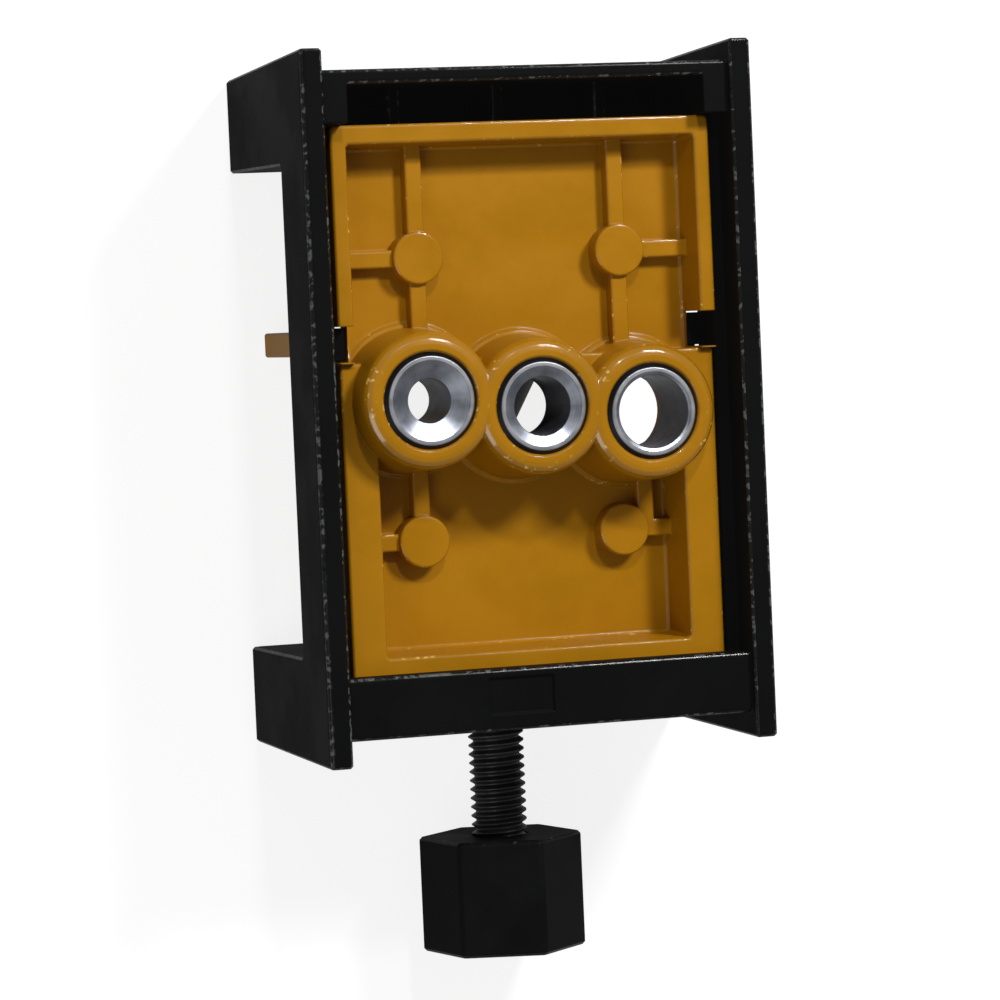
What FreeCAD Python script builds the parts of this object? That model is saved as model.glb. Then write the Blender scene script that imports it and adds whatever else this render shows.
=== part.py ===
import FreeCAD, Part
import math
import os

# Doweling jig: a moulded C frame, a moulded guide plate with three steel drill bushings and a clamp
# screw that presses a board from below against the guide plate's fence.
# The jig lies on its back. X runs along the row of bushings, Y runs up the jig from the knob to the
# top arm, Z stands on the surface it lies on and points out of the drilling face.
# All sizes are in millimetres.

# Levels along Y, measured from the axis of the middle bushing.
cheek_top = 49.4
cheek_bottom = -47.5
top_plate_level = 46.5
bottom_edge_level = -44.0
jaw_ceiling = 34.2
jaw_floor = -33.0
knob_top = -61.1
knob_height = 16.3
guide_top = 39.1
guide_bottom = -38.2
guide_step_level = 6.9
fence_level = 8.0
front_wall_top = -35.5

# Depths along Z, measured back from the front edges of the cheeks.
front_setback = 1.2
web_depth = 11.8
upper_rim_depth = 4.3
lower_rim_depth = 5.3
upper_floor_depth = 10.1
lower_floor_depth = 12.6
upper_back_depth = 12.0
lower_back_depth = 14.5
tongue_back_depth = 14.2
fence_back_depth = 37.2
screw_depth = 26.75
top_rib_depth = 14.0
top_partition_depth = 21.0

# Frame.
frame_width = 65.0
frame_depth = 38.5
cheek_wall = 3.2
side_draft = 0.5
top_draft = 2.1
bottom_draft = 1.0
plate_wall = 2.7
top_lip_wall = 2.0
frame_edge_radius = 0.8
frame_small_radius = 0.6
frame_edge = 0.35
pocket_side_wall = 3.6
top_rib_pitch = 15.1
top_rib_wall = 1.8
rear_rib_setback = 3.0
guide_clearance = 0.2
lug_front_depth = 9.4
front_wall = 3.2
label_recess = 0.4
label_left = -9.2
label_right = 0.2
label_drop = 6.2
label_margin = 1.2
nut_boss_radius = 9.4
under_rib_offset = 19.2
collar_height = 1.3
collar_root_radius = 6.2
collar_tip_radius = 5.0

# Guide plate.
guide_side_gap = 1.9
lower_narrowing = 0.3
guide_corner_radius = 0.8
upper_side_rim = 2.2
upper_top_rim = 2.6
lower_side_rim = 4.9
lower_bottom_edge = -33.4
divider_wall = 2.4
pocket_draft = 0.5
pocket_edge = 0.35
guide_edge = 0.25
rib_edge = 0.2
seat_chamfer = 0.3
notch_bottom = 7.1
notch_top = 12.0
notch_depth = 2.6
bushing_pitch = 16.0
bushing_drop = 1.5
boss_front_radius = 9.4
boss_root_radius = 10.3
boss_round = 1.7
round_bands = 4
boss_sink = 0.3
boss_foot = 0.5
seat_shoulder_radius = 6.0
round_boss_radius = 3.6
round_boss_offset = 14.65
upper_boss_level = 20.9
lower_boss_level = -18.0
upper_boss_depth = 7.2
lower_boss_depth = 9.8
upper_rib_depth = 8.0
lower_rib_depth = 10.6
rib_wall = 2.4
right_lower_rib_offset = 18.2
fence_wall = 3.4
fence_side_gap = 0.3
fence_corner_radius = 2.5

# Drill bushings.
bushing_radius = 6.6
bushing_length = 11.0
bushing_fit = 0.03
bushing_chamfer = 0.6
land_inner_radius = 5.5
funnel_slope = 0.45
bore_diameters = (6.0, 8.0, 10.0)
drill_clearance = 0.05

# Clamp screw, nut, pad and knob.
screw_radius = 3.95
screw_fit = 0.07
screw_neck_radius = 2.2
swivel_radius = 3.0
swivel_half_height = 1.8
swivel_chamfer = 0.8
screw_passage = 0.35
nut_across_flats = 13.0
nut_height = 6.5
nut_fit = 0.05
nut_chamfer = 0.7
head_across_flats = 13.0
head_height = 5.3
head_cover = 3.0
knob_across_corners = 23.4
knob_turn = 18.9
knob_edge = 0.45
pad_top = 5.6
pad_bottom = -5.0
pad_radius = 8.0
pad_rim = 2.0
pad_neck_radius = 4.5
pad_waist_level = -2.5
pad_waist_radius = 4.75
pad_flare_level = 1.2
pad_flare_radius = 6.7
swivel_level = -0.8
swivel_fit = 0.1
socket_mouth_radius = 2.6
shank_gap = 0.7

# The lowest point of the knob and the top of the cheeks set the length, and the part is centred on it.
knob_bottom = knob_top - knob_height
middle_bore_y = -(cheek_top + knob_bottom) / 2
half_width = frame_width / 2
inner_half = half_width - cheek_wall
pocket_half_width = inner_half - pocket_side_wall
guide_half_width = inner_half - guide_side_gap
fence_half_width = inner_half - fence_side_gap
lug_reach = guide_half_width - notch_depth + guide_clearance
far = 2 * max(frame_width, frame_depth, cheek_top - knob_bottom)
near = 0.01
margin = 1.0

bushing_places = []
for step in (-1, 0, 1):
    bushing_places.append((step * bushing_pitch, -step * bushing_drop))


def level(height):
    """Y of a height above the middle bushing's axis."""
    return middle_bore_y + height


def depth(back):
    """Z of a depth behind the front edges of the cheeks."""
    return frame_depth - back


def block(x_range, y_range, z_range):
    """A box between two limits along each axis."""
    corner = FreeCAD.Vector(x_range[0], y_range[0], z_range[0])
    sizes = (x_range[1] - x_range[0], y_range[1] - y_range[0], z_range[1] - z_range[0])
    return Part.makeBox(sizes[0], sizes[1], sizes[2], corner)


def rectangle(x_half, y_low, y_high, z):
    """A rectangular wire, centred along X, at one height."""
    corners = [(-x_half, y_low), (x_half, y_low), (x_half, y_high), (-x_half, y_high), (-x_half, y_low)]
    return Part.makePolygon([FreeCAD.Vector(x, y, z) for x, y in corners])


def tapered(bottom, top):
    """A solid between two rectangles (x_half, y_low, y_high, z)."""
    return Part.makeLoft([rectangle(*bottom), rectangle(*top)], True, True)


def hexagon(flats, y_low, height, turn, fit=0.0):
    """A hexagonal prism along Y on the screw's axis, one flat facing the front before its turn."""
    corner_radius = (flats / 2 + fit) / math.cos(math.pi / 6)
    corners = []
    for side in range(7):
        angle = math.radians(turn + 60 * side + 60)
        x = corner_radius * math.cos(angle)
        z = depth(screw_depth) + corner_radius * math.sin(angle)
        corners.append(FreeCAD.Vector(x, y_low, z))
    return Part.Face(Part.makePolygon(corners)).extrude(FreeCAD.Vector(0, height, 0))


def turned_on_screw(outline):
    """Turn a closed outline of (radius, level) points about the clamp screw's axis."""
    points = [FreeCAD.Vector(radius, level(height), depth(screw_depth)) for radius, height in outline]
    face = Part.Face(Part.makePolygon(points + [points[0]]))
    return face.revolve(points[0] - FreeCAD.Vector(outline[0][0], 0, 0), FreeCAD.Vector(0, 1, 0), 360)


def screw_cylinder(radius, low, high):
    """A cylinder on the clamp screw's axis between two levels."""
    start = FreeCAD.Vector(0, level(low), depth(screw_depth))
    return Part.makeCylinder(radius, high - low, start, FreeCAD.Vector(0, 1, 0))


def edges_where(shape, test):
    """The straight and curved edges whose middle passes a test."""
    return [edge for edge in shape.Edges if test(edge.CenterOfMass, edge)]


def is_along(edge, axis):
    """Whether an edge is straight and runs along X, Y or Z, give or take the moulding's draft."""
    box = edge.BoundBox
    spans = {"X": box.XLength, "Y": box.YLength, "Z": box.ZLength}
    own = spans.pop(axis)
    return own > margin and max(spans.values()) < 0.1 * own


def make_frame():
    """Two drafted C-shaped cheeks joined by a cored top arm and a bottom arm that holds the nut."""
    body = between_cheeks()
    body = body.cut(guide_window())
    body = body.cut(top_pockets())
    body = body.cut(bottom_pockets())
    label_y = (level(front_wall_top - label_drop), level(front_wall_top - label_margin))
    label_z = (depth(front_setback + label_recess), depth(0))
    body = body.cut(block((label_left, label_right), label_y, label_z))
    body = rounded_members(body)
    body = body.fuse([cheek(-1), cheek(1)])
    body = body.cut(boss_ways())
    body = body.fuse(nut_boss())
    body = body.cut(nut_seat())
    for side in (-1, 1):
        body = body.fuse(guide_lug(side))
    return body.removeSplitter()


def between_cheeks():
    """The two arms and the side rails as one block, before its hollows, ending inside the cheeks."""
    x_range = (-inner_half - cheek_wall / 2, inner_half + cheek_wall / 2)
    y_range = (level(bottom_edge_level), level(top_plate_level))
    members = block(x_range, y_range, (0, depth(front_setback)))
    return members.cut(block((-far, far), (level(jaw_floor), level(jaw_ceiling)), (-far, depth(web_depth))))


def rounded_members(body):
    """Round the long front edges of the top arm and of the lip that holds the guide plate."""
    front = depth(front_setback)
    edges = edges_where(body, lambda middle, edge: is_along(edge, "X") and abs(middle.z - front) < near
                        and edge.Length > pocket_half_width / 2)
    return body.makeFillet(frame_small_radius, edges)


def cheek(side):
    """One C-shaped cheek with draft, its outer front edge rounded and its other free edges chamfered."""
    outer_front = half_width
    outer_back = half_width - side_draft
    slab = Part.makeLoft([
        cheek_outline(side, outer_back, cheek_bottom + bottom_draft, cheek_top - top_draft, 0),
        cheek_outline(side, outer_front, cheek_bottom, cheek_top, frame_depth),
    ], True, True)
    slab = slab.cut(block((-far, far), (level(jaw_floor), level(jaw_ceiling)), (-far, depth(web_depth))))
    front_outer = edges_where(slab, lambda middle, edge: is_along(edge, "Y")
                              and middle.z > frame_depth - margin
                              and abs(middle.x) > inner_half + margin)
    slab = slab.makeFillet(frame_edge_radius, front_outer)
    free_edges = edges_where(slab, lambda middle, edge: not is_inner_seam(middle)
                             and edge.Length > 1.5 * frame_edge_radius)
    return slab.makeChamfer(frame_edge, free_edges)


def cheek_outline(side, outer, low, high, z):
    """The rectangle of one cheek's section at one height."""
    corners = [(inner_half, low), (outer, low), (outer, high), (inner_half, high), (inner_half, low)]
    return Part.makePolygon([FreeCAD.Vector(side * x, level(y), z) for x, y in corners])


def is_inner_seam(middle):
    """Whether an edge's middle lies on the cheek's inner face where an arm or a rail joins it."""
    joined = level(bottom_edge_level) < middle.y < level(top_plate_level)
    return abs(abs(middle.x) - inner_half) < near and joined and middle.z < frame_depth - margin


def guide_window():
    """The opening that the guide plate sits in: open to front and back, with a slot behind the lip."""
    seat_half = guide_half_width + guide_clearance
    top = level(guide_top + guide_clearance)
    bottom = level(guide_bottom - guide_clearance)
    rail_front = depth(lower_rim_depth + guide_clearance)
    lip_back = depth(front_setback + front_wall)
    arm_front = depth(tongue_back_depth + guide_clearance)
    window = block((-seat_half, seat_half), (bottom, top), (arm_front, lip_back))
    window = window.fuse(block((-seat_half, seat_half), (level(front_wall_top), top), (lip_back, far)))
    opening = block((-inner_half, inner_half), (level(front_wall_top), top), (rail_front, far))
    return window.fuse(opening)


def boss_ways():
    """The room round the bushings' bosses, which the side rails and the cheeks leave free."""
    ways = []
    for x, height in bushing_places:
        start = FreeCAD.Vector(x, level(height), depth(lower_back_depth) - guide_clearance)
        ways.append(Part.makeCylinder(boss_root_radius + guide_clearance, far, start))
    return ways


def top_pockets():
    """The hollows moulded into the top arm from the front and the back, with three ribs in each."""
    floor = level(jaw_ceiling + plate_wall)
    ceiling = level(top_plate_level - top_lip_wall)
    partition_back = depth(top_partition_depth + plate_wall)
    x_range = (-pocket_half_width, pocket_half_width)
    front_pocket = block(x_range, (floor, ceiling), (depth(top_partition_depth), far))
    rear_half = inner_half - side_draft
    rear_pocket = block((-rear_half, rear_half), (floor, ceiling), (-far, partition_back))
    for place in (-1, 0, 1):
        centre = place * top_rib_pitch
        rib_x = (centre - top_rib_wall / 2, centre + top_rib_wall / 2)
        rib = block(rib_x, (-far, far), (-far, depth(top_rib_depth)))
        rims = edges_where(rib, lambda middle, edge: is_along(edge, "Y") and middle.z > 0)
        front_pocket = front_pocket.cut(rib.makeChamfer(frame_edge, rims))
        rear_pocket = rear_pocket.cut(block(rib_x, (-far, far), (rear_rib_setback, far)))
    return front_pocket.fuse(rear_pocket)


def bottom_pockets():
    """The hollow moulded into the bottom arm from below, with two ribs."""
    hollow_half = inner_half - side_draft
    slot_back = depth(tongue_back_depth + guide_clearance)
    z_range = (plate_wall, slot_back - plate_wall)
    hollow = block((-hollow_half, hollow_half), (-far, level(jaw_floor - plate_wall)), z_range)
    for side in (-1, 1):
        middle = side * under_rib_offset
        rib_x = (middle - plate_wall / 2, middle + plate_wall / 2)
        hollow = hollow.cut(block(rib_x, (-far, far), (-far, far)))
    return hollow


def nut_boss():
    """The boss round the nut, with a small collar where the screw leaves it."""
    boss = screw_cylinder(nut_boss_radius, bottom_edge_level, jaw_floor)
    collar = turned_on_screw([
        (0, bottom_edge_level),
        (collar_root_radius, bottom_edge_level),
        (collar_tip_radius, bottom_edge_level - collar_height),
        (0, bottom_edge_level - collar_height),
    ])
    return boss.fuse(collar)


def nut_seat():
    """The hexagonal nut pocket, open to the jaw, and the screw's way through the shelf below it."""
    pocket_depth = nut_height + nut_fit
    pocket = hexagon(nut_across_flats, level(jaw_floor - pocket_depth), pocket_depth, 0, nut_fit)
    passage = screw_cylinder(screw_radius + screw_passage, bottom_edge_level - collar_height, jaw_floor)
    return pocket.fuse(passage)


def guide_lug(side):
    """A lug on the cheek that fills the guide plate's side notch, clear of the bushings' bosses."""
    x_range = sorted((side * lug_reach, side * (inner_half + cheek_wall / 2)))
    y_range = (level(notch_bottom + guide_clearance), level(notch_top - guide_clearance))
    lug = block(x_range, y_range, (depth(web_depth), depth(lug_front_depth)))
    for x, height in bushing_places:
        start = FreeCAD.Vector(x, level(height), 0)
        lug = lug.cut(Part.makeCylinder(boss_root_radius + boss_foot + guide_clearance, far, start))
    return lug


def make_guide_plate():
    """A tray with a shallow upper half and a deeper lower half, ribs, bosses and the rear fence."""
    tray = upper_half().fuse(lower_half())
    for side in (-1, 1):
        tray = tray.cut(side_notch(side))
    for x, height in bushing_places:
        tray = tray.fuse(bushing_boss(x, height))
        tray = tray.fuse(boss_feet(x, height))
    tray = tray.fuse(stiffening_ribs())
    tray = tray.fuse(fence())
    for x, height in bushing_places:
        tray = tray.cut(bushing_seat(x, height))
    return tray.removeSplitter()


def upper_half():
    """The shallow upper half, with thin rims, rounded top corners and a drafted pocket."""
    low = level(guide_step_level)
    high = level(guide_top)
    rim = depth(upper_rim_depth)
    body = block((-guide_half_width, guide_half_width), (low, high), (depth(upper_back_depth), rim))
    corners = edges_where(body, lambda middle, edge: is_along(edge, "Z") and middle.y > high - margin)
    body = body.makeFillet(guide_corner_radius, corners)
    half = guide_half_width - upper_side_rim
    ceiling = high - upper_top_rim
    floor = (half - pocket_draft, low - margin, ceiling - pocket_draft, depth(upper_floor_depth))
    pocket = tapered(floor, (half, low - margin, ceiling, rim))
    body = body.cut(eased_pocket(pocket, depth(upper_floor_depth)))
    rim_edges = edges_where(body, lambda middle, edge: middle.z > rim - near and middle.y > low + margin)
    return body.makeChamfer(guide_edge, rim_edges)


def lower_half():
    """The deeper lower half, with wide side rims and a thinner tongue that slides into the bottom arm."""
    low = level(guide_bottom)
    high = level(guide_step_level)
    rim = depth(lower_rim_depth)
    half = guide_half_width - lower_narrowing
    body = block((-half, half), (low, high), (depth(lower_back_depth), rim))
    tongue_top = level(jaw_floor + guide_clearance)
    body = body.cut(block((-far, far), (-far, tongue_top), (-far, depth(tongue_back_depth))))
    mouth = half - lower_side_rim
    pocket_low = level(lower_bottom_edge)
    pocket_high = high - divider_wall
    floor_y = (pocket_low + pocket_draft, pocket_high - pocket_draft)
    floor = (mouth - pocket_draft, floor_y[0], floor_y[1], depth(lower_floor_depth))
    pocket = tapered(floor, (mouth, pocket_low, pocket_high, rim))
    body = body.cut(eased_pocket(pocket, depth(lower_floor_depth)))
    rim_edges = edges_where(body, lambda middle, edge: middle.z > rim - near and middle.y > low + margin)
    return body.makeChamfer(guide_edge, rim_edges)


def eased_pocket(pocket, floor_z):
    """Chamfer the floor edges and the upright corners of a pocket's shape."""
    edges = edges_where(pocket, lambda middle, edge: middle.z < floor_z + near or is_along(edge, "Z"))
    return pocket.makeChamfer(pocket_edge, edges)


def side_notch(side):
    """A square notch through the side of the tray, for the frame's lug."""
    x_range = sorted((side * (guide_half_width - notch_depth), side * far))
    return block(x_range, (level(notch_bottom), level(notch_top)), (-far, far))


def bushing_boss(x, height):
    """A drafted round boss whose large front edge is rounded off in bands."""
    root = depth(lower_back_depth)
    front = depth(boss_sink)
    axis = FreeCAD.Vector(x, level(height), 0)
    outline = [FreeCAD.Vector(0, 0, root), FreeCAD.Vector(boss_root_radius, 0, root)]
    for band in range(round_bands + 1):
        turn = math.pi / 2 * band / round_bands
        radius = boss_front_radius - boss_round * (1 - math.cos(turn))
        outline.append(FreeCAD.Vector(radius, 0, front - boss_round * (1 - math.sin(turn))))
    outline.append(FreeCAD.Vector(0, 0, front))
    face = Part.Face(Part.makePolygon(outline + [outline[0]]))
    boss = face.revolve(FreeCAD.Vector(0, 0, 0), FreeCAD.Vector(0, 0, 1), 360)
    boss.translate(axis)
    return boss


def boss_feet(x, height):
    """The sloping foot round a bushing's boss, on the upper floor and on the lower one."""
    feet = []
    upper_y = (level(guide_step_level - divider_wall), far)
    lower_y = (-far, level(guide_step_level - divider_wall))
    inside = guide_half_width - notch_depth
    for floor, y_range in ((upper_floor_depth, upper_y), (lower_floor_depth, lower_y)):
        start = FreeCAD.Vector(x, level(height), depth(floor) - boss_foot)
        reach = boss_root_radius + 2 * boss_foot
        cone = Part.makeCone(reach, boss_root_radius, 2 * boss_foot, start)
        feet.append(cone.common(block((-inside, inside), y_range, (0, far))))
    return feet[0].fuse(feet[1])


def bushing_seat(x, height):
    """The bushing's hole from the front, with a shoulder behind it and a clearance hole to the back."""
    shoulder = depth(bushing_length)
    front = depth(boss_sink)
    start = FreeCAD.Vector(x, level(height), shoulder)
    seat_radius = bushing_radius + bushing_fit
    seat = Part.makeCylinder(seat_radius, far, start)
    relief = Part.makeCylinder(seat_shoulder_radius, far, start, FreeCAD.Vector(0, 0, -1))
    mouth_start = FreeCAD.Vector(x, level(height), front - seat_chamfer)
    mouth = Part.makeCone(seat_radius, seat_radius + 2 * seat_chamfer, 2 * seat_chamfer, mouth_start)
    return seat.fuse([relief, mouth])


def stiffening_ribs():
    """Four round bosses with ribs that tie them to the bushings' bosses and to the tray's sides."""
    rows = (
        (upper_boss_level, upper_boss_depth, upper_rib_depth, upper_floor_depth),
        (lower_boss_level, lower_boss_depth, lower_rib_depth, lower_floor_depth),
    )
    pieces = []
    for boss_level, boss_front, rib_front, floor in rows:
        root = depth(floor) - divider_wall / 2
        rib_z = (root, depth(rib_front))
        for side in (-1, 1):
            pieces.append(round_boss(side, boss_level, root, depth(boss_front)))
            pieces.append(side_rib(side, boss_level, rib_z))
            pieces.append(upright_rib(side, boss_level, rib_z))
    return pieces[0].fuse(pieces[1:])


def round_boss(side, boss_level, root, front):
    """One round boss on the tray's floor, with a chamfered front edge."""
    centre = FreeCAD.Vector(side * round_boss_offset, level(boss_level), root)
    boss = Part.makeCylinder(round_boss_radius, front - root, centre)
    edges = edges_where(boss, lambda middle, edge: middle.z > front - near)
    return boss.makeChamfer(rib_edge, edges)


def eased_rib(x_range, y_range, rib_z, axis):
    """A rib along X or Y with its long front edges chamfered."""
    rib = block(sorted(x_range), y_range, rib_z)
    edges = edges_where(rib, lambda middle, edge: middle.z > rib_z[1] - near and is_along(edge, axis))
    return rib.makeChamfer(rib_edge, edges)


def side_rib(side, boss_level, rib_z):
    """The rib along X from a round boss to the tray's side wall."""
    wall_x = side * (guide_half_width - upper_side_rim)
    if boss_level < 0:
        wall_x = side * (guide_half_width - lower_narrowing - lower_side_rim)
    rib_y = (level(boss_level) - rib_wall / 2, level(boss_level) + rib_wall / 2)
    return eased_rib((side * round_boss_offset, wall_x), rib_y, rib_z, "X")


def upright_rib(side, boss_level, rib_z):
    """The rib along Y from the tray's top wall, or from a round boss, to a bushing's boss."""
    middle = side * round_boss_offset
    y_range = (level(0), level(guide_top - upper_top_rim))
    if boss_level < 0:
        y_range = (level(boss_level), level(0))
        if side > 0:
            middle = right_lower_rib_offset
    return eased_rib((middle - rib_wall / 2, middle + rib_wall / 2), y_range, rib_z, "Y")


def fence():
    """The flat fence that stands back from the guide plate and lies on the board."""
    y_range = (level(fence_level), level(fence_level + fence_wall))
    root = depth(web_depth) - guide_clearance
    plate = block((-fence_half_width, fence_half_width), y_range, (depth(fence_back_depth), root))
    corners = edges_where(plate, lambda middle, edge: is_along(edge, "Y") and middle.z < root - margin)
    plate = plate.makeFillet(fence_corner_radius, corners)
    rims = edges_where(plate, lambda middle, edge: not is_along(edge, "Y") and middle.z < root - near)
    plate = plate.makeChamfer(guide_edge, rims)
    lower_side = guide_half_width - lower_narrowing
    neck_half = guide_half_width - notch_depth
    neck = block((-neck_half, neck_half), y_range, (root, depth(upper_floor_depth)))
    seat_y = (level(guide_step_level), y_range[1])
    seat = block((-lower_side, lower_side), seat_y, (depth(lower_back_depth), root))
    return plate.fuse([neck, seat])


def make_bushing(place, diameter):
    """A turned steel bushing with a chamfered rim and a shallow funnel into its bore."""
    bore = diameter / 2 + drill_clearance
    funnel = (land_inner_radius - bore) * funnel_slope
    back = depth(bushing_length)
    outline = [
        (bore, back + bushing_chamfer / 2),
        (bore, frame_depth - funnel),
        (land_inner_radius, frame_depth),
        (bushing_radius - bushing_chamfer, frame_depth),
        (bushing_radius, frame_depth - bushing_chamfer),
        (bushing_radius, back),
        (bore + bushing_chamfer / 2, back),
    ]
    points = [FreeCAD.Vector(radius, 0, z) for radius, z in outline]
    face = Part.Face(Part.makePolygon(points + [points[0]]))
    bushing = face.revolve(FreeCAD.Vector(0, 0, 0), FreeCAD.Vector(0, 0, 1), 360)
    bushing.translate(FreeCAD.Vector(place[0], level(place[1]), 0))
    return bushing


def make_captive_nut():
    """A hexagonal nut with chamfered corners, lying in the bottom arm."""
    low = jaw_floor - nut_height
    corner_radius = nut_across_flats / 2 / math.cos(math.pi / 6)
    nut = hexagon(nut_across_flats, level(low), nut_height, 0)
    limits = turned_on_screw([
        (0, low),
        (corner_radius - nut_chamfer, low),
        (corner_radius, low + nut_chamfer / 2),
        (corner_radius, jaw_floor - nut_chamfer / 2),
        (corner_radius - nut_chamfer, jaw_floor),
        (0, jaw_floor),
    ])
    nut = nut.common(limits)
    return nut.cut(screw_cylinder(screw_radius + screw_fit, low, jaw_floor))


def swivel_button(fit):
    """The turned button on the screw's end that the pad swivels on, or with a fit, its socket."""
    radius = swivel_radius + fit
    half_height = swivel_half_height + fit
    return turned_on_screw([
        (0, swivel_level - half_height),
        (radius - swivel_chamfer, swivel_level - half_height),
        (radius, swivel_level - half_height + swivel_chamfer),
        (radius, swivel_level + half_height - swivel_chamfer),
        (radius - swivel_chamfer, swivel_level + half_height),
        (0, swivel_level + half_height),
    ])


def make_clamp_screw():
    """The screw's shank between the hexagonal head in the knob and the swivel button in the pad."""
    head_low = knob_bottom + head_cover
    head = hexagon(head_across_flats, level(head_low), head_height, knob_turn)
    shank_top = pad_bottom - shank_gap
    shank = screw_cylinder(screw_radius, head_low + head_height / 2, shank_top)
    neck = screw_cylinder(screw_neck_radius, shank_top, swivel_level)
    return head.fuse([shank, neck, swivel_button(0)]).removeSplitter()


def make_clamp_knob():
    """The hexagonal moulded knob round the screw's head."""
    flats = knob_across_corners * math.cos(math.pi / 6)
    knob = hexagon(flats, level(knob_bottom), knob_height, knob_turn)
    knob = knob.makeChamfer(knob_edge, knob.Edges)
    head_low = knob_bottom + head_cover
    knob = knob.cut(hexagon(head_across_flats, level(head_low), head_height, knob_turn, bushing_fit))
    return knob.cut(screw_cylinder(screw_radius + bushing_fit, head_low, knob_top))


def make_pressure_pad():
    """The bell-shaped pad that swivels on the screw's end and presses on the board."""
    bell = turned_on_screw([
        (0, pad_bottom),
        (pad_neck_radius, pad_bottom),
        (pad_waist_radius, pad_waist_level),
        (pad_flare_radius, pad_flare_level),
        (pad_radius, pad_top - pad_rim),
        (pad_radius, pad_top),
        (0, pad_top),
    ])
    mouth = screw_cylinder(socket_mouth_radius, pad_bottom, swivel_level)
    return bell.cut(swivel_button(swivel_fit).fuse(mouth))


def export(name, shape):
    """Write one sub-part."""
    shape.exportStep("parts/" + name + ".step")


os.makedirs("parts", exist_ok=True)
export("frame", make_frame())
export("guide_plate", make_guide_plate())
for place, diameter in zip(bushing_places, bore_diameters):
    export("bushing_%d" % diameter, make_bushing(place, diameter))
export("captive_nut", make_captive_nut())
export("clamp_screw", make_clamp_screw())
export("clamp_knob", make_clamp_knob())
export("pressure_pad", make_pressure_pad())
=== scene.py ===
import math

import bmesh
import bpy
from mathutils import Matrix, Vector


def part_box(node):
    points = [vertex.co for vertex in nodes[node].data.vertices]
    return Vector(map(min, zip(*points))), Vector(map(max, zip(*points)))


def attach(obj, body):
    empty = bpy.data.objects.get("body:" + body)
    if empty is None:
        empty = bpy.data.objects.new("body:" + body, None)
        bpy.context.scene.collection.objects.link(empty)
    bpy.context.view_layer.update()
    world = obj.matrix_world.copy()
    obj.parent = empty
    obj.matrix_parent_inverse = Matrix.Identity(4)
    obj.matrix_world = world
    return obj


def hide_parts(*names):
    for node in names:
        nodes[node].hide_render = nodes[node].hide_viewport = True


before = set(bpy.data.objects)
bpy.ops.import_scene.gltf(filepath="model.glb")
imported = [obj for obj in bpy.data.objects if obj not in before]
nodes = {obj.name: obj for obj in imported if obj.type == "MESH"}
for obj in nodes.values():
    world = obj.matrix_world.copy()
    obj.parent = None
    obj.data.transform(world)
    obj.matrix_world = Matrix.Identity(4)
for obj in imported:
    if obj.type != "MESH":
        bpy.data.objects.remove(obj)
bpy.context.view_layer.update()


# Frame: one moulding of black glass-filled nylon, with two C-shaped cheeks joined by a cored top arm
# and by a bottom arm that holds the nut. It keeps the fine grain of its mould. Its rims carry grey specks
# that are partly scuffs from handling and partly painted glints, and a faint painted glow lifts its blacks.

def shader_group(name, inputs, outputs):
    """An empty shader node group with named inputs {name: (type, value)} and outputs {name: type}."""
    tree = bpy.data.node_groups.new(name, "ShaderNodeTree")
    for label, (kind, value) in inputs.items():
        socket = tree.interface.new_socket(label, in_out="INPUT", socket_type=kind)
        socket.default_value = value
    for label, kind in outputs.items():
        tree.interface.new_socket(label, in_out="OUTPUT", socket_type=kind)
    return tree, tree.nodes.new("NodeGroupInput"), tree.nodes.new("NodeGroupOutput")


def add_math(tree, operation, first, second=0.0, clamp=False):
    """A Math node whose inputs are sockets or numbers."""
    node = tree.nodes.new("ShaderNodeMath")
    node.operation = operation
    node.use_clamp = clamp
    for socket, value in zip(node.inputs, (first, second)):
        if isinstance(value, (int, float)):
            socket.default_value = value
        else:
            tree.links.new(value, socket)
    return node.outputs[0]


def add_noise(tree, vector, scale, detail=2.0, roughness=0.5):
    """The grey value of a noise pattern, between about 0.3 and 0.7."""
    node = tree.nodes.new("ShaderNodeTexNoise")
    tree.links.new(vector, node.inputs["Vector"])
    if isinstance(scale, (int, float)):
        node.inputs["Scale"].default_value = scale
    else:
        tree.links.new(scale, node.inputs["Scale"])
    node.inputs["Detail"].default_value = detail
    node.inputs["Roughness"].default_value = roughness
    return node.outputs["Fac"]


def add_range(tree, value, low, high, new_low=0.0, new_high=1.0):
    """A smooth step of a value from one range to another."""
    node = tree.nodes.new("ShaderNodeMapRange")
    node.interpolation_type = "SMOOTHSTEP"
    tree.links.new(value, node.inputs["Value"])
    for label, number in zip(("From Min", "From Max", "To Min", "To Max"), (low, high, new_low, new_high)):
        node.inputs[label].default_value = number
    return node.outputs[0]


def add_mix(tree, factor, first, second):
    """A mix of two colours, each a socket or an (r, g, b) value."""
    node = tree.nodes.new("ShaderNodeMix")
    node.data_type = "RGBA"
    tree.links.new(factor, node.inputs[0])
    for socket, value in zip((node.inputs[6], node.inputs[7]), (first, second)):
        if isinstance(value, tuple):
            socket.default_value = (*value, 1.0)
        else:
            tree.links.new(value, socket)
    return node.outputs[2]


# A rim is found by how squarely the surface faces an axis: 1.0 is flat on it, and less is over an edge.
RIM_TURN = (0.985, 0.86)
AXIS_LEAN = (0.15, 0.40)
AXIS_FLAT = (0.995, 0.95)
SCUFF_PATCH_SCALE = 95.0
SCUFF_PATCH_SHARE = 0.45
SCUFF_START = 0.98
SCUFF_START_PER_AMOUNT = 0.35
SCUFF_CONTRAST = 9.0
GLINT_LEVELS = (0.34, 0.62)


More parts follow.
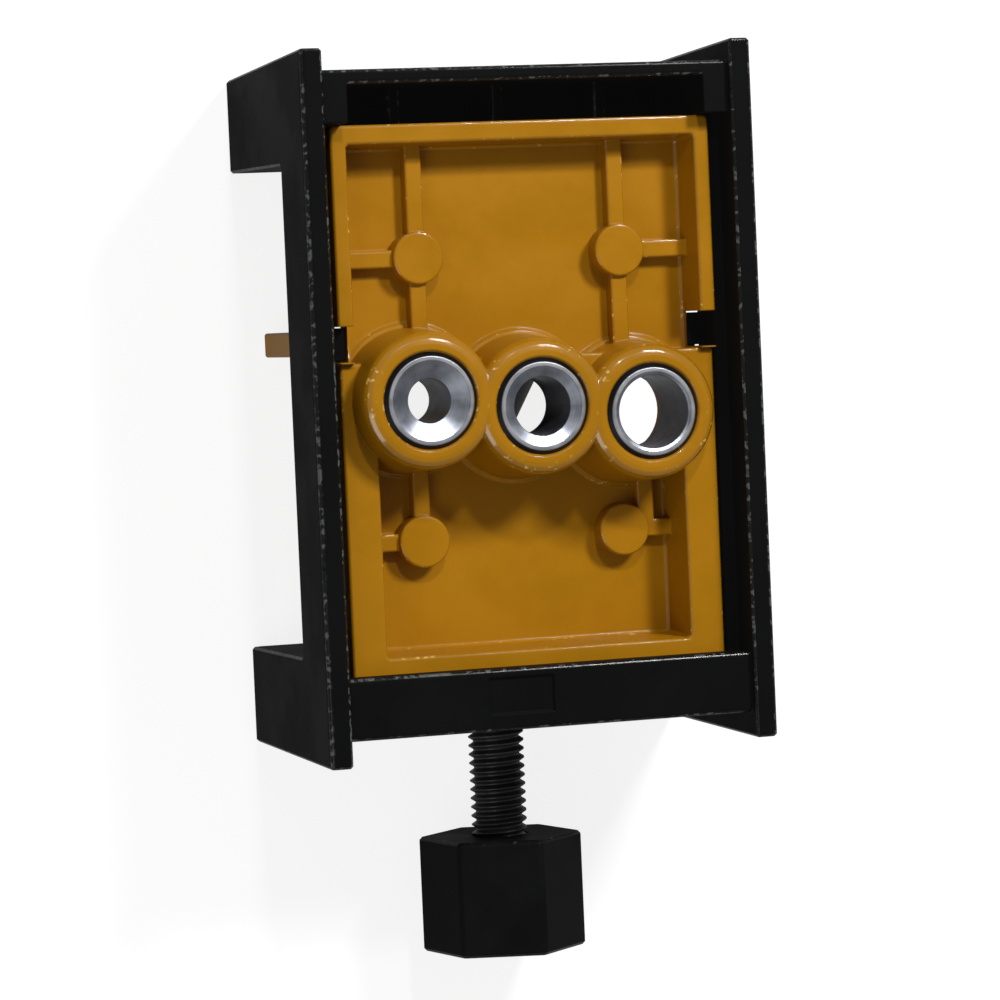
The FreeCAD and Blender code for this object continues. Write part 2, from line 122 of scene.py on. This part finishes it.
def rim_wear_group():
    """Speckled rims, partly rubbed wear and partly painted glints: where the surface turns over an edge,
    broken up by fine noise. Axis picks the rims across one axis, and nothing is speckled within Plain Radius
    of a line along Y at Plain Height."""
    tree, given, result = shader_group(
        "rim_wear_and_glint",
        {"Speckle Scale": ("NodeSocketFloat", 1200.0), "Amount": ("NodeSocketFloat", 0.5),
         "Axis": ("NodeSocketVector", (0.0, 0.0, 0.0)), "Plain Height": ("NodeSocketFloat", 0.0),
         "Plain Radius": ("NodeSocketFloat", 0.0)},
        {"Rim": "NodeSocketFloat", "Speckle": "NodeSocketFloat", "Gloss": "NodeSocketFloat"},
    )
    place = tree.nodes.new("ShaderNodeTexCoord")
    split = tree.nodes.new("ShaderNodeSeparateXYZ")
    tree.links.new(place.outputs["Normal"], split.inputs[0])
    lengths = [add_math(tree, "ABSOLUTE", split.outputs[axis]) for axis in range(3)]
    largest = add_math(tree, "MAXIMUM", add_math(tree, "MAXIMUM", lengths[0], lengths[1]), lengths[2])
    share = tree.nodes.new("ShaderNodeVectorMath")
    share.operation = "DOT_PRODUCT"
    size = tree.nodes.new("ShaderNodeVectorMath")
    size.operation = "LENGTH"
    tree.links.new(place.outputs["Normal"], share.inputs[0])
    tree.links.new(given.outputs["Axis"], share.inputs[1])
    tree.links.new(given.outputs["Axis"], size.inputs[0])
    leaning = add_math(tree, "ABSOLUTE", share.outputs["Value"])
    one_axis = add_math(tree, "MULTIPLY", add_range(tree, leaning, *AXIS_LEAN),
                        add_range(tree, leaning, *AXIS_FLAT))
    any_axis = add_math(tree, "MULTIPLY", add_range(tree, largest, *RIM_TURN),
                        add_math(tree, "SUBTRACT", 1.0, size.outputs["Value"]))
    spot = tree.nodes.new("ShaderNodeSeparateXYZ")
    tree.links.new(place.outputs["Object"], spot.inputs[0])
    rise = add_math(tree, "SUBTRACT", spot.outputs[2], given.outputs["Plain Height"])
    square = add_math(tree, "ADD", add_math(tree, "MULTIPLY", rise, rise),
                      add_math(tree, "MULTIPLY", spot.outputs[0], spot.outputs[0]))
    outside = add_math(tree, "GREATER_THAN", add_math(tree, "SQRT", square), given.outputs["Plain Radius"])
    rim = add_math(tree, "MULTIPLY", add_math(tree, "MAXIMUM", any_axis, one_axis), outside)
    fine = add_noise(tree, place.outputs["Object"], given.outputs["Speckle Scale"], 1.0)
    patches = add_noise(tree, place.outputs["Object"], SCUFF_PATCH_SCALE, 3.0)
    level = add_math(tree, "ADD", fine, add_math(tree, "MULTIPLY", patches, SCUFF_PATCH_SHARE))
    start = add_math(tree, "SUBTRACT", SCUFF_START,
                     add_math(tree, "MULTIPLY", given.outputs["Amount"], SCUFF_START_PER_AMOUNT))
    speckle = add_math(tree, "MULTIPLY", add_math(tree, "SUBTRACT", level, start), SCUFF_CONTRAST, clamp=True)
    glints = add_range(tree, level, *GLINT_LEVELS)
    tree.links.new(rim, result.inputs["Rim"])
    tree.links.new(add_math(tree, "MULTIPLY", rim, glints), result.inputs["Gloss"])
    tree.links.new(add_math(tree, "MULTIPLY", rim, speckle), result.inputs["Speckle"])
    return tree


WAVE_SCALE = 160.0
WAVE_HEIGHT = 1.6
TONE_SCALE = 70.0
TONE_LEVELS = (0.32, 0.68)


def moulded_grain_group():
    """The skin of a moulded plastic: fine pebbling, slow waves of the cooled wall, and drifting tone."""
    tree, given, result = shader_group(
        "moulded_grain",
        {"Grain Scale": ("NodeSocketFloat", 2600.0), "Grain Depth": ("NodeSocketFloat", 1.0)},
        {"Height": "NodeSocketFloat", "Tone": "NodeSocketFloat"},
    )
    place = tree.nodes.new("ShaderNodeTexCoord")
    here = place.outputs["Object"]
    grain = add_noise(tree, here, given.outputs["Grain Scale"], 2.0, 0.6)
    waves = add_noise(tree, here, WAVE_SCALE, 1.0)
    height = add_math(tree, "ADD", add_math(tree, "MULTIPLY", grain, given.outputs["Grain Depth"]),
                      add_math(tree, "MULTIPLY", waves, WAVE_HEIGHT))
    tone = add_range(tree, add_noise(tree, here, TONE_SCALE, 4.0, 0.6), *TONE_LEVELS)
    tree.links.new(height, result.inputs["Height"])
    tree.links.new(tone, result.inputs["Tone"])
    return tree


rim_wear_and_glint = rim_wear_group()
moulded_grain = moulded_grain_group()


def use_group(tree, group, **values):
    """Place a node group in a material with its own values."""
    node = tree.nodes.new("ShaderNodeGroup")
    node.node_tree = group
    for label, value in values.items():
        node.inputs[label.replace("_", " ")].default_value = value
    return node


def start_material(name):
    """A new node material: the material, its tree and its Principled shader."""
    made = bpy.data.materials.new(name)
    made.use_nodes = True
    return made, made.node_tree, made.node_tree.nodes["Principled BSDF"]


EDGE_SAMPLES = 6


def add_bump(tree, shader, height, distance, edge_radius):
    """Feed a height into the shader's normal, over edges that are softened by a small radius."""
    soft_edges = tree.nodes.new("ShaderNodeBevel")
    soft_edges.samples = EDGE_SAMPLES
    soft_edges.inputs["Radius"].default_value = edge_radius
    bump = tree.nodes.new("ShaderNodeBump")
    bump.inputs["Distance"].default_value = distance
    tree.links.new(soft_edges.outputs[0], bump.inputs["Normal"])
    tree.links.new(height, bump.inputs["Height"])
    tree.links.new(bump.outputs[0], shader.inputs["Normal"])
    tree.links.new(soft_edges.outputs[0], shader.inputs["Coat Normal"])


GRAIN_HEIGHT = 0.00003
PLASTIC_EDGE_RADIUS = 0.0004
SCUFF_AND_GLINT_COVER = 0.8
SCUFF_DEPTH = -1.2
RIM_POLISH = 0.12
GLINT_ROUGHNESS = 0.10
GLINT_IOR = 1.8


def moulded_plastic(name, body, scuff_and_glint, tones, roughness, ior, grain_scale, grain_depth, wear, rim_gloss,
                    rim_axis=(0, 0, 0), plain_height=0.0, plain_radius=0.0, painted_glow=0.0):
    """A moulded plastic: a body colour that drifts between two tones, a grained skin and speckled rims
    whose lighter tone is partly wear and partly painted glints. An even emission paints a faint glow over
    black, standing in for the light that stray reflections lay over it, even in its deepest hollows."""
    made, tree, shader = start_material(name)
    skin = use_group(tree, moulded_grain, Grain_Scale=grain_scale, Grain_Depth=grain_depth)
    rims = use_group(tree, rim_wear_and_glint, Amount=wear, Axis=rim_axis, Plain_Height=plain_height,
                     Plain_Radius=plain_radius)
    darker = tuple(part * tones[0] for part in body)
    lighter = tuple(part * tones[1] for part in body)
    base = add_mix(tree, skin.outputs["Tone"], darker, lighter)
    # Painted glints: the lighter tone on the rim specks is partly wear and partly painted highlight.
    base = add_mix(tree, add_math(tree, "MULTIPLY", rims.outputs["Speckle"], SCUFF_AND_GLINT_COVER), base, scuff_and_glint)
    tree.links.new(base, shader.inputs["Base Color"])
    rough = add_range(tree, skin.outputs["Tone"], 0.0, 1.0, *roughness)
    rough = add_math(tree, "SUBTRACT", rough, add_math(tree, "MULTIPLY", rims.outputs["Rim"], RIM_POLISH))
    tree.links.new(rough, shader.inputs["Roughness"])
    scuffs = add_math(tree, "MULTIPLY", rims.outputs["Speckle"], SCUFF_DEPTH)
    height = add_math(tree, "ADD", skin.outputs["Height"], scuffs)
    add_bump(tree, shader, height, GRAIN_HEIGHT, PLASTIC_EDGE_RADIUS)
    shader.inputs["IOR"].default_value = ior
    tree.links.new(add_math(tree, "MULTIPLY", rims.outputs["Gloss"], rim_gloss), shader.inputs["Coat Weight"])
    shader.inputs["Coat Roughness"].default_value = GLINT_ROUGHNESS
    shader.inputs["Coat IOR"].default_value = GLINT_IOR
    shader.inputs["Emission Color"].default_value = (1, 1, 1, 1)
    # Painted glow: an even emission over the whole surface, standing in for stray light over the black.
    shader.inputs["Emission Strength"].default_value = painted_glow
    return made


# The round boss under the nut gets no rim specks: it lies on the nut's axis, and this is just over its
# radius.
NUT_BOSS_REACH = 0.0102

nut_low, nut_high = (Vector(corner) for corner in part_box("captive_nut"))
nut_axis_height = (nut_low.z + nut_high.z) / 2


def dress(node_name, material):
    """Give a CAD node this material in every slot."""
    node = nodes[node_name]
    if not node.material_slots:
        node.data.materials.append(material)
    for own_slot in node.material_slots:
        own_slot.material = material


# The frame glows faintly with a painted glow, and its grey rim specks are partly scuffs, partly painted
# glints.
dress("frame", moulded_plastic(
    "frame_plastic", body=(0.0019, 0.0021, 0.0021), scuff_and_glint=(0.115, 0.125, 0.120), tones=(0.75, 1.35),
    roughness=(0.54, 0.66), ior=1.13, grain_scale=2300.0, grain_depth=0.6, wear=0.60, rim_gloss=0.40,
    plain_height=nut_axis_height, plain_radius=NUT_BOSS_REACH, painted_glow=0.0022))


# Guide plate: one moulding of ochre-yellow plastic with its bosses, ribs and rear fence. It slides
# into the frame from the front. Its skin is smoother than the frame's and has a soft sheen.

# Its lighter rim specks are partly wear and partly painted glints.
dress("guide_plate", moulded_plastic(
    "guide_plastic", body=(0.385, 0.168, 0.0028), scuff_and_glint=(0.80, 0.55, 0.16), tones=(0.92, 1.06),
    roughness=(0.28, 0.38), ior=1.25, grain_scale=1900.0, grain_depth=0.45, wear=0.24, rim_gloss=1.0,
    rim_axis=(0, 0, 1)))


# Drill bushings: turned and hardened steel sleeves for 6, 8 and 10 mm bits, pressed into the guide
# plate. The cutting tool has left fine rings on their faces, funnels and bores.

RING_SPACING = 0.00011
RING_HEIGHT = 0.000006
RING_TONE_LEVELS = (0.36, 0.64)
SMEAR_SCALE = 420.0
LAND_RADIUS = 0.00596
LAND_WIDTH = 0.0005
LAND_BLEND = 0.0001
RIM_BLEND = 0.0002
STEEL_EDGE_RADIUS = 0.00015


def turned_marks_group():
    """Fine rings round an axis along Z, with an uneven brightness from one ring to the next."""
    tree, given, result = shader_group(
        "turned_marks",
        {"Axis X": ("NodeSocketFloat", 0.0), "Axis Y": ("NodeSocketFloat", 0.0),
         "Bore": ("NodeSocketFloat", 0.003)},
        {"Height": "NodeSocketFloat", "Tone": "NodeSocketFloat", "Outside": "NodeSocketFloat",
         "Inside": "NodeSocketFloat", "Land": "NodeSocketFloat"},
    )
    place = tree.nodes.new("ShaderNodeTexCoord")
    split = tree.nodes.new("ShaderNodeSeparateXYZ")
    tree.links.new(place.outputs["Object"], split.inputs[0])
    across = add_math(tree, "SUBTRACT", split.outputs[0], given.outputs["Axis X"])
    along = add_math(tree, "SUBTRACT", split.outputs[1], given.outputs["Axis Y"])
    square = add_math(tree, "ADD", add_math(tree, "MULTIPLY", across, across),
                      add_math(tree, "MULTIPLY", along, along))
    radius = add_math(tree, "SQRT", square)
    reach = add_math(tree, "ADD", radius, split.outputs[2])
    steps = tree.nodes.new("ShaderNodeTexNoise")
    steps.noise_dimensions = "1D"
    tree.links.new(reach, steps.inputs["W"])
    steps.inputs["Scale"].default_value = 1 / RING_SPACING
    steps.inputs["Detail"].default_value = 2.0
    smears = add_noise(tree, place.outputs["Object"], SMEAR_SCALE, 2.0)
    tree.links.new(steps.outputs["Fac"], result.inputs["Height"])
    into_bore = add_math(tree, "SUBTRACT", radius, given.outputs["Bore"])
    tree.links.new(add_range(tree, radius, LAND_RADIUS, LAND_RADIUS + RIM_BLEND), result.inputs["Outside"])
    tree.links.new(add_range(tree, into_bore, RIM_BLEND, 0.0), result.inputs["Inside"])
    land_start = LAND_RADIUS - LAND_WIDTH
    tree.links.new(add_range(tree, radius, land_start, land_start + LAND_BLEND), result.inputs["Land"])
    tone = add_math(tree, "ADD", add_math(tree, "MULTIPLY", steps.outputs["Fac"], 0.5),
                    add_math(tree, "MULTIPLY", smears, 0.5))
    tree.links.new(add_range(tree, tone, *RING_TONE_LEVELS), result.inputs["Tone"])
    return tree


turned_marks = turned_marks_group()


FUNNEL_TONES = ((0.27, 0.29, 0.34), (0.44, 0.46, 0.52))
LAND_TONE = (0.52, 0.53, 0.56)
# Painted shade in the bores: a near-black tone and a low metallic value.
BORE_SHADE_TONE = (0.030, 0.032, 0.040)
OXIDE_TONE = (0.030, 0.030, 0.038)
TURNED_ROUGHNESS = (0.30, 0.42)
BORE_SHADE_METALLIC = 0.3


def turned_steel(name, axis, bore):
    """Turned steel, black-oxided outside its land and with painted shade on its bore walls, whose rings are
    centred on one bushing's axis.
    """
    made, tree, shader = start_material(name)
    marks = use_group(tree, turned_marks, Axis_X=axis.x, Axis_Y=axis.y, Bore=bore)
    funnel = add_mix(tree, marks.outputs["Tone"], *FUNNEL_TONES)
    face = add_mix(tree, marks.outputs["Land"], funnel, LAND_TONE)
    # Painted shade: the bore walls are painted near black and made less metallic, for the shade inside the
    # bore.
    walled = add_mix(tree, marks.outputs["Inside"], face, BORE_SHADE_TONE)
    base = add_mix(tree, marks.outputs["Outside"], walled, OXIDE_TONE)
    rough = add_range(tree, marks.outputs["Tone"], 0.0, 1.0, *TURNED_ROUGHNESS)
    metallic = add_range(tree, marks.outputs["Inside"], 0.0, 1.0, 1.0, BORE_SHADE_METALLIC)
    tree.links.new(base, shader.inputs["Base Color"])
    tree.links.new(rough, shader.inputs["Roughness"])
    tree.links.new(metallic, shader.inputs["Metallic"])
    add_bump(tree, shader, marks.outputs["Height"], RING_HEIGHT, STEEL_EDGE_RADIUS)
    return made


for bit in (6, 8, 10):
    bushing = "bushing_%d" % bit
    low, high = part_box(bushing)
    middle = (Vector(low) + Vector(high)) / 2
    dress(bushing, turned_steel(bushing + "_steel", middle, bore=bit / 2 / 1000))


# Captive nut: a blackened steel M8 nut that lies in a hexagonal pocket of the bottom arm, dropped in
# from the jaw side. Only its upper face shows, round the screw.

OXIDE_GRAIN_SCALE = 5200.0
OXIDE_GRAIN_DEPTH = 0.6
OXIDE_HEIGHT = 0.000012
OXIDE_WEAR = 0.35
OXIDE_POLISH = 0.1
OXIDE_METALLIC = 0.6
OXIDE_EDGE_RADIUS = 0.0002


def blackened_steel(name, tones, roughness):
    """Steel with a black oxide skin that drifts between two tones and is a little smoother on the rims."""
    made, tree, shader = start_material(name)
    skin = use_group(tree, moulded_grain, Grain_Scale=OXIDE_GRAIN_SCALE, Grain_Depth=OXIDE_GRAIN_DEPTH)
    rims = use_group(tree, rim_wear_and_glint, Amount=OXIDE_WEAR, Axis=(0, 1, 0))
    tree.links.new(add_mix(tree, skin.outputs["Tone"], *tones), shader.inputs["Base Color"])
    rough = add_range(tree, skin.outputs["Tone"], 0.0, 1.0, *roughness)
    polish = add_math(tree, "MULTIPLY", rims.outputs["Speckle"], OXIDE_POLISH)
    tree.links.new(add_math(tree, "SUBTRACT", rough, polish), shader.inputs["Roughness"])
    shader.inputs["Metallic"].default_value = OXIDE_METALLIC
    add_bump(tree, shader, skin.outputs["Height"], OXIDE_HEIGHT, OXIDE_EDGE_RADIUS)
    return made


screw_steel = blackened_steel("screw_steel", tones=((0.040, 0.040, 0.043), (0.085, 0.085, 0.090)),
                              roughness=(0.34, 0.46))
dress("captive_nut", screw_steel)


# Clamp screw: a blackened M8 screw with a real 1.25 mm thread. Its hexagonal head is moulded into
# the knob, and a turned button on its other end snaps into the pad.

THREAD_PITCH = 0.00125
THREAD_CREST = 0.00395
THREAD_ROOT = 0.00327
CREST_FLAT = 0.14
ROOT_FLAT = 0.16
POINT_LENGTH = 0.0009
SPARE_TURNS = 2.0
CAP_TURNS = 1.3
ROWS_PER_TURN = 12
STEPS_AROUND = 64
WELD_DISTANCE = 0.000004
SMOOTH_ANGLE = 35
HEAD_HEIGHT = 0.0053
HEAD_FLATS = 0.013
HEAD_TURN = math.radians(18.9)
NECK_RADIUS = 0.0022
BUTTON_RADIUS = 0.003
BUTTON_CHAMFER = 0.0008
BUTTON_HEIGHT = 0.0036
SHANK_TOP_BELOW_BUTTON = 0.0031

screw_low, screw_high = (Vector(corner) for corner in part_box("clamp_screw"))
screw_axis = (screw_low + screw_high) / 2
button_low = screw_high.y - BUTTON_HEIGHT
shank_low = screw_low.y + HEAD_HEIGHT / 2
shank_top = button_low - SHANK_TOP_BELOW_BUTTON


def threaded_rod_tree():
    """Geometry nodes for a threaded rod along Y: a grid wrapped round the axis as a helix. It has spare
    turns past both ends, which are pressed flat there, and the outermost close the ends."""
    tree = bpy.data.node_groups.new("threaded_rod", "GeometryNodeTree")
    tree.interface.new_socket("Geometry", in_out="INPUT", socket_type="NodeSocketGeometry")
    numbers = ("Length", "Pitch", "Crest Radius", "Root Radius", "Crest Flat", "Root Flat", "Point")
    for label in numbers:
        tree.interface.new_socket(label, in_out="INPUT", socket_type="NodeSocketFloat")
    for label in ("Turns", "Around", "Per Turn"):
        tree.interface.new_socket(label, in_out="INPUT", socket_type="NodeSocketInt")
    tree.interface.new_socket("Material", in_out="INPUT", socket_type="NodeSocketMaterial")
    tree.interface.new_socket("Geometry", in_out="OUTPUT", socket_type="NodeSocketGeometry")
    given = tree.nodes.new("NodeGroupInput").outputs
    turns_and_ends = add_math(tree, "ADD", given["Turns"], 2 * SPARE_TURNS)
    rows = add_math(tree, "ADD", add_math(tree, "MULTIPLY", turns_and_ends, given["Per Turn"]), 1.0)
    grid = tree.nodes.new("GeometryNodeMeshGrid")
    grid.inputs["Size X"].default_value = 1.0
    tree.links.new(turns_and_ends, grid.inputs["Size Y"])
    tree.links.new(add_math(tree, "ADD", given["Around"], 1.0), grid.inputs["Vertices X"])
    tree.links.new(rows, grid.inputs["Vertices Y"])
    split = tree.nodes.new("ShaderNodeSeparateXYZ")
    tree.links.new(tree.nodes.new("GeometryNodeInputPosition").outputs[0], split.inputs[0])
    round_share = add_math(tree, "ADD", split.outputs[0], 0.5)
    half = add_math(tree, "MULTIPLY", given["Turns"], 0.5)
    along = add_math(tree, "ADD", split.outputs[1], half)
    angle = add_math(tree, "MULTIPLY", round_share, 2 * math.pi)
    wave = add_math(tree, "MULTIPLY", add_math(tree, "SUBTRACT", add_math(tree, "FRACT", along), 0.5), 2.0)
    wave = add_math(tree, "ABSOLUTE", wave)
    past_root = add_math(tree, "SUBTRACT", 1.0, given["Root Flat"])
    flank = add_math(tree, "SUBTRACT", past_root, given["Crest Flat"])
    above_root = add_math(tree, "SUBTRACT", wave, given["Root Flat"])
    ridge = add_math(tree, "DIVIDE", above_root, flank, clamp=True)
    thread_depth = add_math(tree, "SUBTRACT", given["Crest Radius"], given["Root Radius"])
    radius = add_math(tree, "ADD", given["Root Radius"], add_math(tree, "MULTIPLY", ridge, thread_depth))
    free = add_math(tree, "MULTIPLY", add_math(tree, "ADD", along, round_share), given["Pitch"])
    height = add_math(tree, "MINIMUM", add_math(tree, "MAXIMUM", free, 0.0), given["Length"])
    to_end = add_math(tree, "SUBTRACT", given["Length"], height)
    cone = add_math(tree, "ADD", add_math(tree, "SUBTRACT", given["Crest Radius"], given["Point"]), to_end)
    radius = add_math(tree, "MINIMUM", radius, cone)
    cap = add_math(tree, "MULTIPLY", add_math(tree, "GREATER_THAN", along, -CAP_TURNS),
                   add_math(tree, "LESS_THAN", along, add_math(tree, "ADD", given["Turns"], CAP_TURNS)))
    radius = add_math(tree, "MULTIPLY", radius, cap)
    place = tree.nodes.new("ShaderNodeCombineXYZ")
    tree.links.new(add_math(tree, "MULTIPLY", radius, add_math(tree, "SINE", angle)), place.inputs[0])
    tree.links.new(height, place.inputs[1])
    tree.links.new(add_math(tree, "MULTIPLY", radius, add_math(tree, "COSINE", angle)), place.inputs[2])
    moved = tree.nodes.new("GeometryNodeSetPosition")
    tree.links.new(grid.outputs["Mesh"], moved.inputs["Geometry"])
    tree.links.new(place.outputs[0], moved.inputs["Position"])
    welded = tree.nodes.new("GeometryNodeMergeByDistance")
    welded.inputs["Distance"].default_value = WELD_DISTANCE
    tree.links.new(moved.outputs[0], welded.inputs["Geometry"])
    whole = tree.nodes.new("GeometryNodeRealizeInstances")
    tree.links.new(welded.outputs[0], whole.inputs[0])
    painted = tree.nodes.new("GeometryNodeSetMaterial")
    tree.links.new(whole.outputs[0], painted.inputs["Geometry"])
    tree.links.new(given["Material"], painted.inputs["Material"])
    tree.links.new(painted.outputs[0], tree.nodes.new("NodeGroupOutput").inputs[0])
    return tree


def mesh_from_tree(tree, values):
    """The plain mesh that a geometry tree makes with these inputs."""
    holder = bpy.data.objects.new("holder", bpy.data.meshes.new("holder"))
    bpy.context.scene.collection.objects.link(holder)
    modifier = holder.modifiers.new("shape", "NODES")
    modifier.node_group = tree
    for item in tree.interface.items_tree:
        if item.in_out == "INPUT" and item.name in values:
            modifier[item.identifier] = values[item.name]
    evaluated = holder.evaluated_get(bpy.context.evaluated_depsgraph_get())
    mesh = bpy.data.meshes.new_from_object(evaluated)
    bpy.data.objects.remove(holder)
    return mesh


def turned_outline(bm, outline, axis, steps=48):
    """Add the closed surface that a list of (radius, y) points makes when it turns round an axis along Y."""
    rings = []
    for radius, y in outline:
        if radius == 0:
            rings.append([bm.verts.new((axis.x, y, axis.z))])
            continue
        turns = [2 * math.pi * step / steps for step in range(steps)]
        rings.append([bm.verts.new((axis.x + radius * math.sin(turn), y, axis.z + radius * math.cos(turn)))
                      for turn in turns])
    for lower, upper in zip(rings, rings[1:]):
        for step in range(max(len(lower), len(upper))):
            after = (step + 1) % max(len(lower), len(upper))
            if len(lower) == 1:
                bm.faces.new((lower[0], upper[after], upper[step]))
            elif len(upper) == 1:
                bm.faces.new((lower[step], lower[after], upper[0]))
            else:
                bm.faces.new((lower[step], lower[after], upper[after], upper[step]))


def hexagonal_head(bm, low, high, axis):
    """Add the screw's hexagonal head between two levels on Y, turned as the knob round it is."""
    reach = HEAD_FLATS / 2 / math.cos(math.pi / 6)
    ends = []
    for y in (low, high):
        ring = []
        for corner in range(6):
            angle = HEAD_TURN + math.pi / 3 * corner
            ring.append(bm.verts.new((axis.x + reach * math.cos(angle), y, axis.z + reach * math.sin(angle))))
        ends.append(ring)
        bm.faces.new(ring)
    for corner in range(6):
        after = (corner + 1) % 6
        bm.faces.new((ends[0][corner], ends[0][after], ends[1][after], ends[1][corner]))


def smooth_by_angle(mesh, degrees):
    """Smooth shading, broken where two faces meet at more than this angle."""
    bm = bmesh.new()
    bm.from_mesh(mesh)
    for face in bm.faces:
        face.smooth = True
    for edge in bm.edges:
        edge.smooth = len(edge.link_faces) == 2 and edge.calc_face_angle(0) < math.radians(degrees)
    bm.to_mesh(mesh)
    bm.free()


shank_length = shank_top - shank_low
rod = mesh_from_tree(threaded_rod_tree(), {
    "Length": shank_length, "Pitch": THREAD_PITCH, "Crest Radius": THREAD_CREST, "Root Radius": THREAD_ROOT,
    "Crest Flat": CREST_FLAT, "Root Flat": ROOT_FLAT, "Point": POINT_LENGTH,
    "Turns": math.ceil(shank_length / THREAD_PITCH), "Around": STEPS_AROUND, "Per Turn": ROWS_PER_TURN,
    "Material": screw_steel,
})
rod.transform(Matrix.Translation((screw_axis.x, shank_low, screw_axis.z)))

screw_shape = bmesh.new()
screw_shape.from_mesh(rod)
turned_outline(screw_shape, [
    (0, shank_top - POINT_LENGTH),
    (NECK_RADIUS, shank_top - POINT_LENGTH),
    (NECK_RADIUS, button_low),
    (BUTTON_RADIUS - BUTTON_CHAMFER, button_low),
    (BUTTON_RADIUS, button_low + BUTTON_CHAMFER),
    (BUTTON_RADIUS, screw_high.y - BUTTON_CHAMFER),
    (BUTTON_RADIUS - BUTTON_CHAMFER, screw_high.y),
    (0, screw_high.y),
], screw_axis)
hexagonal_head(screw_shape, screw_low.y, screw_low.y + HEAD_HEIGHT, screw_axis)
bmesh.ops.recalc_face_normals(screw_shape, faces=screw_shape.faces)
screw_mesh = bpy.data.meshes.new("threaded_screw")
screw_shape.to_mesh(screw_mesh)
screw_shape.free()
screw_mesh.materials.clear()
screw_mesh.materials.append(screw_steel)
smooth_by_angle(screw_mesh, SMOOTH_ANGLE)
threaded_screw = bpy.data.objects.new("threaded_screw", screw_mesh)
bpy.context.scene.collection.objects.link(threaded_screw)
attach(threaded_screw, "screw")
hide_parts("clamp_screw")


# Clamp knob and pressure pad: black moulded plastic. The knob is moulded round the screw's head, and
# the bell-shaped pad is pressed over the screw's button, so that it swivels and doesn't mark the board.

# The knob's lighter rim specks are partly wear and partly painted glints.
knob_plastic = moulded_plastic(
    "knob_plastic", body=(0.0048, 0.0050, 0.0050), scuff_and_glint=(0.07, 0.075, 0.075), tones=(0.8, 1.3),
    roughness=(0.52, 0.64), ior=1.14, grain_scale=2800.0, grain_depth=0.6, wear=0.20, rim_gloss=0.2,
    rim_axis=(0, 1, 0))
dress("clamp_knob", knob_plastic)
dress("pressure_pad", knob_plastic)


# Studio: a plain pale floor under the jig, which glows towards the camera so that it shows as white. A
# key light stands at the upper right, a smaller one above the jig's top and a broad, weak one at the
# lower left, in a pale surrounding.

FLOOR_HALF = 3.0
FLOOR_TONE = 0.26
FLOOR_ROUGHNESS = 0.8
FLOOR_GLOW = (0.22, 0.84)
SURROUNDING_STRENGTH = 0.20

floor_mesh = bpy.data.meshes.new("studio_floor")
floor_mesh.from_pydata([(-FLOOR_HALF, -FLOOR_HALF, 0), (FLOOR_HALF, -FLOOR_HALF, 0),
                        (FLOOR_HALF, FLOOR_HALF, 0), (-FLOOR_HALF, FLOOR_HALF, 0)], [], [(0, 1, 2, 3)])
floor = bpy.data.objects.new("studio_floor", floor_mesh)
bpy.context.scene.collection.objects.link(floor)
floor_paint, floor_tree, floor_shader = start_material("floor_paint")
floor_shader.inputs["Base Color"].default_value = (FLOOR_TONE, FLOOR_TONE, FLOOR_TONE, 1)
floor_shader.inputs["Emission Color"].default_value = (1, 1, 1, 1)
seen_directly = floor_tree.nodes.new("ShaderNodeLightPath").outputs["Is Camera Ray"]
floor_glow = add_range(floor_tree, seen_directly, 0.0, 1.0, *FLOOR_GLOW)
floor_tree.links.new(floor_glow, floor_shader.inputs["Emission Strength"])
floor_shader.inputs["Roughness"].default_value = FLOOR_ROUGHNESS
floor_mesh.materials.append(floor_paint)


def add_area_light(name, place, size, power, aim=Vector((0, 0, 0.02))):
    """A square area light that faces the jig."""
    lamp = bpy.data.lights.new(name, "AREA")
    lamp.size = size
    lamp.energy = power
    holder = bpy.data.objects.new(name, lamp)
    holder.location = place
    holder.rotation_euler = (aim - Vector(place)).to_track_quat("-Z", "Y").to_euler()
    bpy.context.scene.collection.objects.link(holder)


add_area_light("key_light", place=(0.27, 0.38, 0.52), size=0.12, power=3.3)
add_area_light("fill_light", place=(-0.50, -0.30, 0.50), size=0.40, power=0.9)
add_area_light("top_light", place=(-0.04, 0.54, 0.66), size=0.06, power=1.7)

surrounding = bpy.data.worlds.new("studio")
bpy.context.scene.world = surrounding
surrounding.use_nodes = True
background = surrounding.node_tree.nodes["Background"]
background.inputs["Color"].default_value = (1, 1, 1, 1)
background.inputs["Strength"].default_value = SURROUNDING_STRENGTH
bpy.context.scene.view_settings.view_transform = "Standard"


# Camera: where the photograph was taken from, above the face of the lying jig, well to its left and a
# little towards its top. The lens is long, and rolled a little, so that the jig leans as it does there.

CAMERA_PLACE = Vector((-0.20660, 0.02864, 0.62268))
CAMERA_FORWARD = Vector((0.323124, -0.043803, -0.945343))
CAMERA_UP = Vector((0.055591, 0.998082, -0.027245))
CAMERA_LENS = 163.77
SENSOR_WIDTH = 36.0

camera_data = bpy.data.cameras.new("camera")
camera_data.lens = CAMERA_LENS
camera_data.sensor_width = SENSOR_WIDTH
camera_data.clip_start = 0.01
camera = bpy.data.objects.new("camera", camera_data)
right = CAMERA_FORWARD.cross(CAMERA_UP).normalized()
up = right.cross(CAMERA_FORWARD).normalized()
turn = Matrix((right, up, -CAMERA_FORWARD)).transposed()
camera.matrix_world = Matrix.Translation(CAMERA_PLACE) @ turn.to_4x4()
bpy.context.scene.collection.objects.link(camera)
bpy.context.scene.camera = camera
